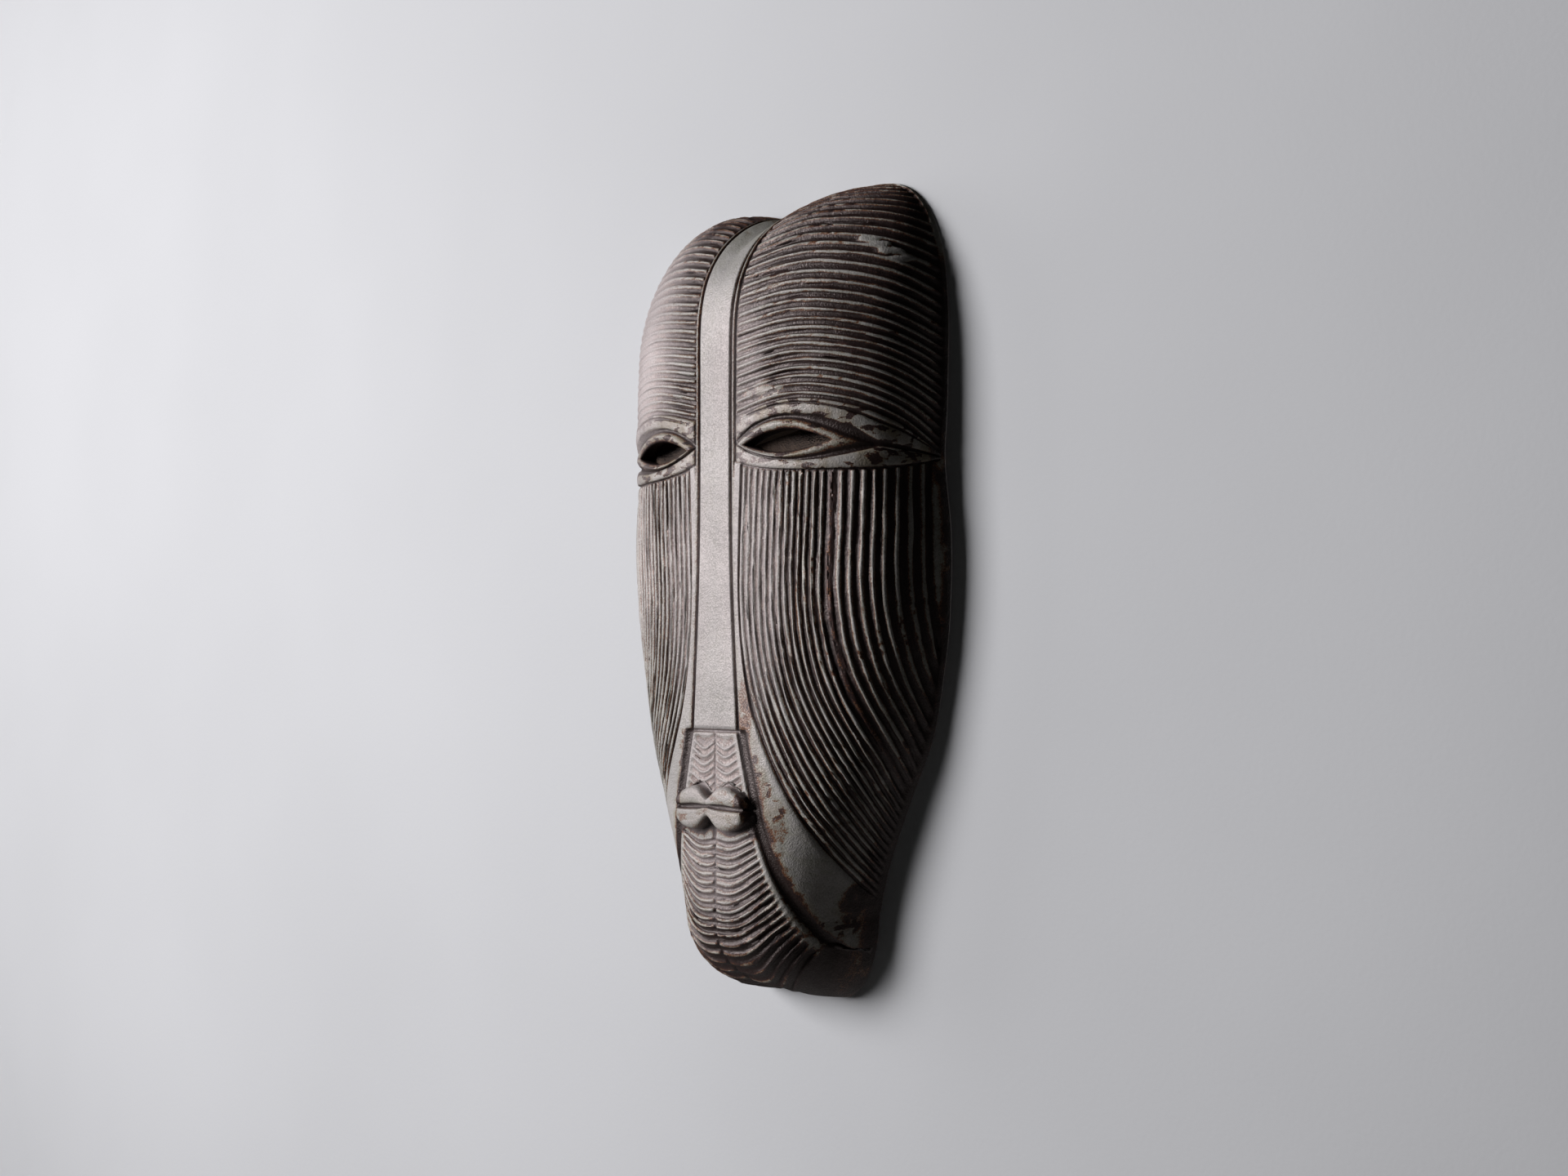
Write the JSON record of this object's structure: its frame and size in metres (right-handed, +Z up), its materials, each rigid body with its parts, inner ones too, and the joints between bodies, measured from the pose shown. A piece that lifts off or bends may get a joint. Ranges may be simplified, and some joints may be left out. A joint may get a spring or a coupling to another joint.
{
  "type": "wall mask",
  "caption": "Hollow wall mask of glazed stoneware with pierced eyes, a long flat nose band and combed ridges over forehead, cheeks and chin.",
  "frame": {"origin": "on the flat back rim, in the middle of the rim's thickness, in the cleft at the top centre of the mask, where it hangs", "axes": "+Z up along the face, +Y back into the wall, so the face looks along -Y; +X to the right of someone facing the mask"},
  "size_m": [0.1774, 0.0658, 0.3721],
  "materials": {
    "glazed_stoneware": "satin purple-brown to near-black glaze that pools in the grooves and breaks to pale grey on the ridges"
  },
  "bodies": {
    "root": {"mask": "glazed_stoneware"}
  },
  "joints": []
}
